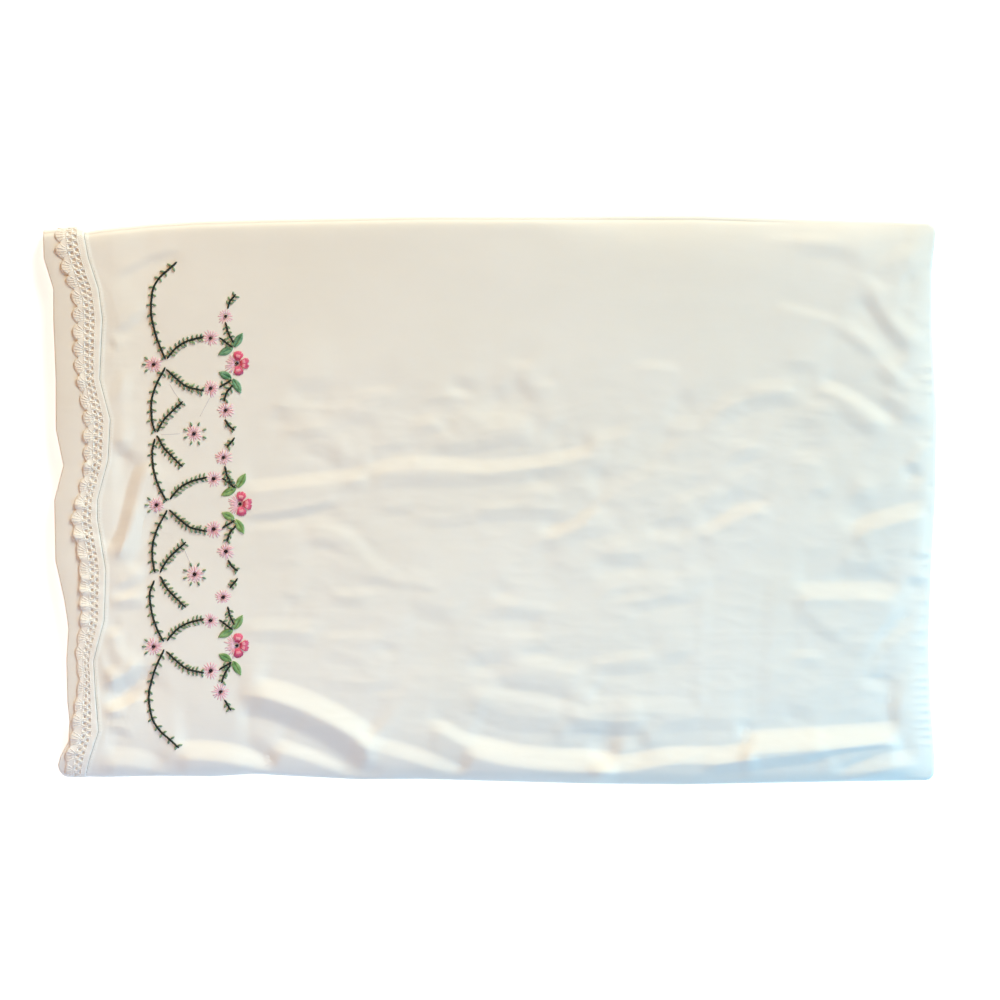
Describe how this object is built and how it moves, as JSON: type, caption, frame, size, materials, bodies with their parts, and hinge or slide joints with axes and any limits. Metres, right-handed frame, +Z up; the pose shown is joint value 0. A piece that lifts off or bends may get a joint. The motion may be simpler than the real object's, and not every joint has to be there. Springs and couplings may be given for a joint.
{
  "type": "pillowcase",
  "caption": "White cotton pillowcase lying flat, with an embroidered flower border beside a hemmed open mouth and a crocheted scalloped edging sewn round that mouth.",
  "frame": {"origin": "middle of the overall outline seen from above, on the floor that the case lies on", "axes": "+X from the open mouth to the sewn end, +Y from the sewn side to the folded side, +Z up from the floor"},
  "size_m": [0.8018, 0.5115, 0.016],
  "materials": {
    "case_cloth": "plain-woven washed cotton",
    "edging_thread": "crocheted cotton thread"
  },
  "bodies": {
    "root": {"case": "case_cloth", "edging": "edging_thread"}
  },
  "joints": []
}
